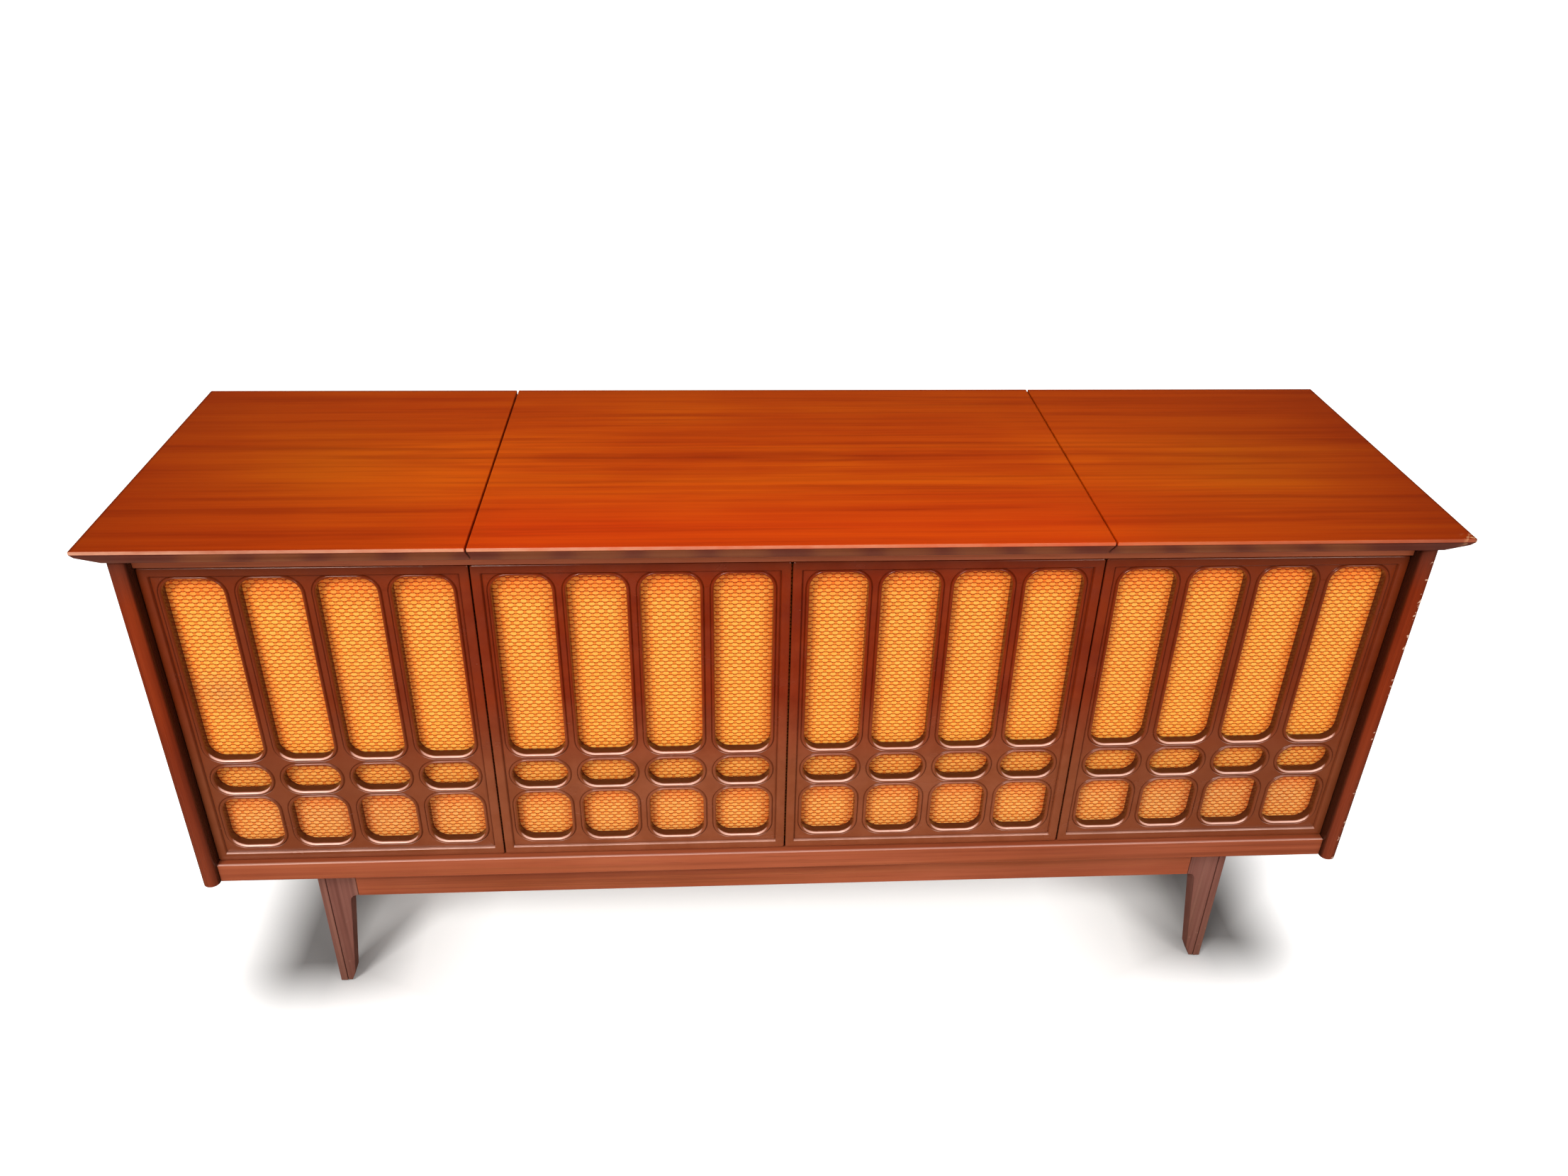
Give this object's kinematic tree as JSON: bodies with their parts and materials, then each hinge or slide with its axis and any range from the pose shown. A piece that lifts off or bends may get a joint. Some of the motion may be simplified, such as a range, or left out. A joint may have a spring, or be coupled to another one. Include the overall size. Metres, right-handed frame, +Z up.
{
  "type": "radio phonograph console",
  "caption": "Long low radio phonograph console with beaded moulded grilles over woven cloth, tapered legs and a lift-up lid over a record changer and tuner.",
  "frame": {"origin": "on the floor, under the middle of the top", "axes": "+X to the right along the front, +Y to the back (the grilles face -Y), +Z up"},
  "size_m": [1.475, 0.428, 0.722],
  "materials": {
    "top_veneer": "satin",
    "cabinet_wood": "satin",
    "plain_wood": "matte",
    "hardboard": "matte",
    "grille_plastic": "gloss",
    "grille_fabric": "woven",
    "zinc_steel": "satin",
    "hinge_brass": "satin",
    "speaker_steel": "satin",
    "speaker_paper": "matte",
    "changer_paint": "satin",
    "cast_alloy": "satin",
    "mat_rubber": "matte",
    "bright_metal": "polished",
    "turned_brass": "polished",
    "dark_enamel": "satin",
    "arm_plastic": "satin",
    "panel_metal": "brushed",
    "dial_pane": "clear",
    "pointer_red": "satin",
    "knob_plastic": "gloss"
  },
  "bodies": {
    "cabinet": {"left_top_panel": "top_veneer", "right_top_panel": "top_veneer", "left_end_panel": "cabinet_wood", "right_end_panel": "cabinet_wood", "bottom_front_rail": "cabinet_wood", "top_front_rail": "cabinet_wood", "front_apron": "cabinet_wood", "left_side_board": "cabinet_wood", "right_side_board": "cabinet_wood", "front_left_leg": "cabinet_wood", "front_right_leg": "cabinet_wood", "rear_left_leg": "cabinet_wood", "rear_right_leg": "cabinet_wood", "bottom_board": "plain_wood", "top_rear_rail": "plain_wood", "left_partition": "plain_wood", "right_partition": "plain_wood", "baffle_board": "plain_wood", "motor_board": "plain_wood", "rear_apron": "plain_wood", "back_panel": "hardboard", "left_outer_grille": "grille_plastic", "left_inner_grille": "grille_plastic", "right_inner_grille": "grille_plastic", "right_outer_grille": "grille_plastic", "grille_cloth": "grille_fabric", "back_panel_screws": "zinc_steel", "leg_glides": "zinc_steel", "receiver_chassis": "zinc_steel", "lid_stay_pivot": "zinc_steel", "hinge_fixed_leaves": "hinge_brass", "left_woofer_frame": "speaker_steel", "right_woofer_frame": "speaker_steel", "changer_plate": "changer_paint", "power_cord": "mat_rubber", "spindle": "bright_metal", "drive_motor": "dark_enamel", "power_transformer": "dark_enamel", "tuner_panel": "panel_metal", "dial_glass": "dial_pane"},
    "lid": {"centre_lid": "top_veneer", "hinge_moving_leaves": "hinge_brass", "lid_stay_bracket": "zinc_steel"},
    "stay": {"lid_stay_arm": "zinc_steel"},
    "turntable": {"platter": "cast_alloy", "platter_mat": "mat_rubber"},
    "idler": {"idler_wheel": "mat_rubber"},
    "pulley": {"motor_pulley": "turned_brass"},
    "arm_base": {"tonearm_post": "arm_plastic"},
    "pickup_arm": {"tonearm": "arm_plastic"},
    "steadying_arm": {"record_arm": "arm_plastic"},
    "changer_control": {"changer_knob": "knob_plastic"},
    "volume_control": {"volume_knob": "knob_plastic"},
    "tone_control": {"tone_knob": "knob_plastic"},
    "function_control": {"function_knob": "knob_plastic"},
    "tuning_control": {"tuning_knob": "knob_plastic"},
    "pointer": {"dial_pointer": "pointer_red"},
    "power_control": {"power_button": "knob_plastic"},
    "left_cone": {"left_woofer_cone": "speaker_paper"},
    "right_cone": {"right_woofer_cone": "speaker_paper"}
  },
  "joints": [
    {"name": "lid_hinge", "type": "hinge", "parent": "cabinet", "child": "lid", "pos_m": [0, 0.1993, 0.6936], "axis": [-1, 0, 0], "range_deg": [0, 75]},
    {"name": "stay_pivot", "type": "hinge", "parent": "cabinet", "child": "stay", "pos_m": [-0.3305, 0.1743, 0.6686], "axis": [-1, 0, 0], "range_deg": [0, 80]},
    {"name": "platter_spin", "type": "hinge", "parent": "cabinet", "child": "turntable", "pos_m": [-0.172, 0.02, 0.6], "axis": [0, 0, -1], "continuous": true},
    {"name": "idler_spin", "type": "hinge", "parent": "cabinet", "child": "idler", "pos_m": [-0.09924, 0.09276, 0.597], "axis": [0, 0, -1], "continuous": true},
    {"name": "pulley_spin", "type": "hinge", "parent": "cabinet", "child": "pulley", "pos_m": [-0.12561, 0.10506, 0.59], "axis": [0, 0, -1], "continuous": true},
    {"name": "tonearm_swing", "type": "hinge", "parent": "cabinet", "child": "arm_base", "pos_m": [0.012, 0.12, 0.6], "axis": [0, 0, -1], "range_deg": [0, 46]},
    {"name": "tonearm_lift", "type": "hinge", "parent": "arm_base", "child": "pickup_arm", "pos_m": [0.012, 0.12, 0.624], "axis": [-1, 0, 0], "range_deg": [0, 14]},
    {"name": "record_arm_swing", "type": "hinge", "parent": "cabinet", "child": "steadying_arm", "pos_m": [-0.3, 0.148, 0.6], "axis": [0, 0, 1], "range_deg": [0, 50]},
    {"name": "changer_turn", "type": "hinge", "parent": "cabinet", "child": "changer_control", "pos_m": [-0.045, -0.105, 0.59], "axis": [0, 0, -1], "range_deg": [-40, 40]},
    {"name": "volume_turn", "type": "hinge", "parent": "cabinet", "child": "volume_control", "pos_m": [0.1, -0.07, 0.602], "axis": [0, 0, -1], "range_deg": [0, 300]},
    {"name": "tone_turn", "type": "hinge", "parent": "cabinet", "child": "tone_control", "pos_m": [0.165, -0.07, 0.602], "axis": [0, 0, -1], "range_deg": [-150, 150]},
    {"name": "function_turn", "type": "hinge", "parent": "cabinet", "child": "function_control", "pos_m": [0.23, -0.07, 0.602], "axis": [0, 0, -1], "range_deg": [-60, 60]},
    {"name": "tuning_turn", "type": "hinge", "parent": "cabinet", "child": "tuning_control", "pos_m": [0.29, -0.02, 0.602], "axis": [0, 0, -1], "range_deg": [-900, 900]},
    {"name": "pointer_travel", "type": "slide", "parent": "cabinet", "child": "pointer", "axis": [1, 0, 0], "range_m": [-0.095, 0.095]},
    {"name": "power_push", "type": "slide", "parent": "cabinet", "child": "power_control", "axis": [0, 0, -1], "range_m": [0, 0.004], "stiffness_N_per_m": 250},
    {"name": "left_cone_travel", "type": "slide", "parent": "cabinet", "child": "left_cone", "axis": [0, 1, 0], "range_m": [-0.004, 0.004], "stiffness_N_per_m": 2000},
    {"name": "right_cone_travel", "type": "slide", "parent": "cabinet", "child": "right_cone", "axis": [0, 1, 0], "range_m": [-0.004, 0.004], "stiffness_N_per_m": 2000}
  ],
  "couplings": [
    {"joint": "stay_pivot", "follows": "lid_hinge", "ratio": 1.0217},
    {"joint": "idler_spin", "follows": "platter_spin", "ratio": 5.12},
    {"joint": "pulley_spin", "follows": "platter_spin", "ratio": -32},
    {"joint": "pointer_travel", "follows": "tuning_turn", "m_per_rad": 0.006047}
  ]
}
